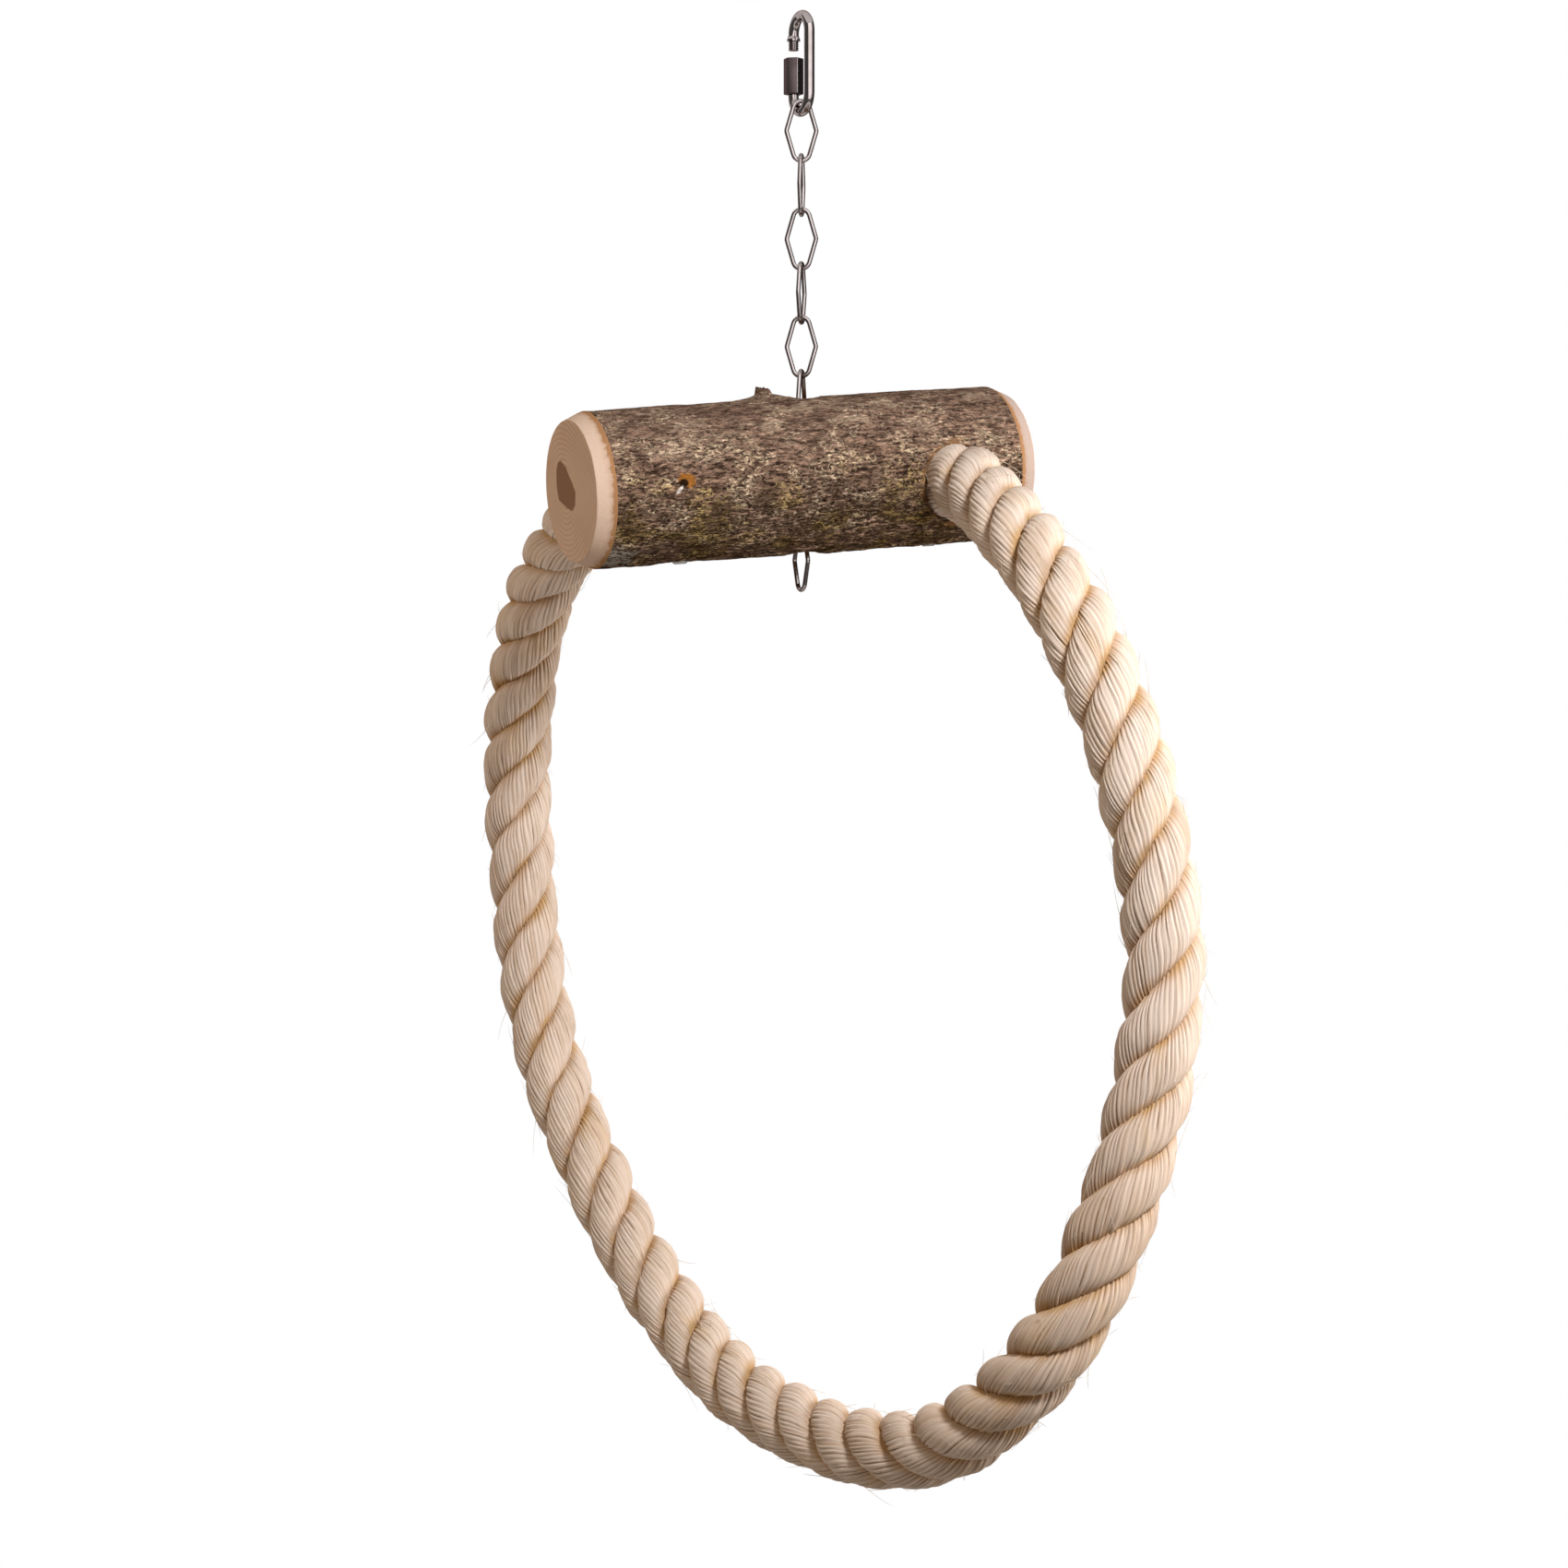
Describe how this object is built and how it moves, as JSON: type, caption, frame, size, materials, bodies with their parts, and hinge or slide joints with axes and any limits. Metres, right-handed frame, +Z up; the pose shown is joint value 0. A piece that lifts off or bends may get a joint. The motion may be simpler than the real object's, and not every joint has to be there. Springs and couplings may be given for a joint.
{
  "type": "sisal ring bird swing",
  "caption": "Ring of thick twisted sisal rope set into a bark-covered branch log, hung from a wire chain with a screw quick link, as a perch swing for a large bird.",
  "frame": {"origin": "inside of the quick link's top bend, where a hook carries the swing", "axes": "+Z up along the chain, X along the log with its higher end at +X, Y away from the log's front"},
  "size_m": [0.2298, 0.4669, 0.6922],
  "materials": {
    "stainless_steel": "polished",
    "nut_steel": "satin",
    "zinc_plated_steel": "satin",
    "bark_log": "matte",
    "sisal_rope": "matte"
  },
  "bodies": {
    "quick_link": {"quick_link": "stainless_steel"},
    "lock_nut": {"lock_nut": "nut_steel"},
    "chain_link_1": {"chain_link_1": "stainless_steel"},
    "chain_link_2": {"chain_link_2": "stainless_steel"},
    "chain_link_3": {"chain_link_3": "stainless_steel"},
    "chain_link_4": {"chain_link_4": "stainless_steel"},
    "chain_link_5": {"chain_link_5": "stainless_steel"},
    "chain_link_6": {"chain_link_6": "stainless_steel"},
    "log_and_rope": {"log": "bark_log", "rope_ring": "sisal_rope", "chain_pin": "zinc_plated_steel", "rope_screw_right": "zinc_plated_steel", "rope_screw_left": "zinc_plated_steel", "chain_link_7": "stainless_steel", "chain_link_8": "stainless_steel"},
    "chain_link_9": {"chain_link_9": "stainless_steel"}
  },
  "joints": [
    {"name": "nut_screw", "type": "slide", "parent": "quick_link", "child": "lock_nut", "axis": [0, 0, 1], "range_m": [0, 0.0075]},
    {"name": "link_1_swing", "type": "hinge", "parent": "quick_link", "child": "chain_link_1", "pos_m": [0, 0, -0.0423], "axis": [0.0349, -0.9994, 0], "range_deg": [-45, 45]},
    {"name": "link_2_swing", "type": "hinge", "parent": "chain_link_1", "child": "chain_link_2", "pos_m": [0, 0, -0.06531], "axis": [0.9272, -0.3746, 0], "range_deg": [-45, 45]},
    {"name": "link_3_swing", "type": "hinge", "parent": "chain_link_2", "child": "chain_link_3", "pos_m": [0, 0, -0.09066], "axis": [0.5299, 0.848, 0], "range_deg": [-45, 45]},
    {"name": "link_4_swing", "type": "hinge", "parent": "chain_link_3", "child": "chain_link_4", "pos_m": [0, 0, -0.11601], "axis": [0.8192, -0.5736, 0], "range_deg": [-45, 45]},
    {"name": "link_5_swing", "type": "hinge", "parent": "chain_link_4", "child": "chain_link_5", "pos_m": [0, 0, -0.14136], "axis": [0.6018, 0.7986, 0], "range_deg": [-45, 45]},
    {"name": "link_6_swing", "type": "hinge", "parent": "chain_link_5", "child": "chain_link_6", "pos_m": [0, 0, -0.16671], "axis": [0.7986, -0.6018, 0], "range_deg": [-45, 45]},
    {"name": "log_swing", "type": "hinge", "parent": "chain_link_6", "child": "log_and_rope", "pos_m": [0, 0, -0.19206], "axis": [0.6018, 0.7986, 0], "range_deg": [-12, 12]},
    {"name": "link_9_swing", "type": "hinge", "parent": "log_and_rope", "child": "chain_link_9", "pos_m": [0, 0, -0.24276], "axis": [0.9455, 0.3256, 0], "range_deg": [-10, 10]}
  ]
}
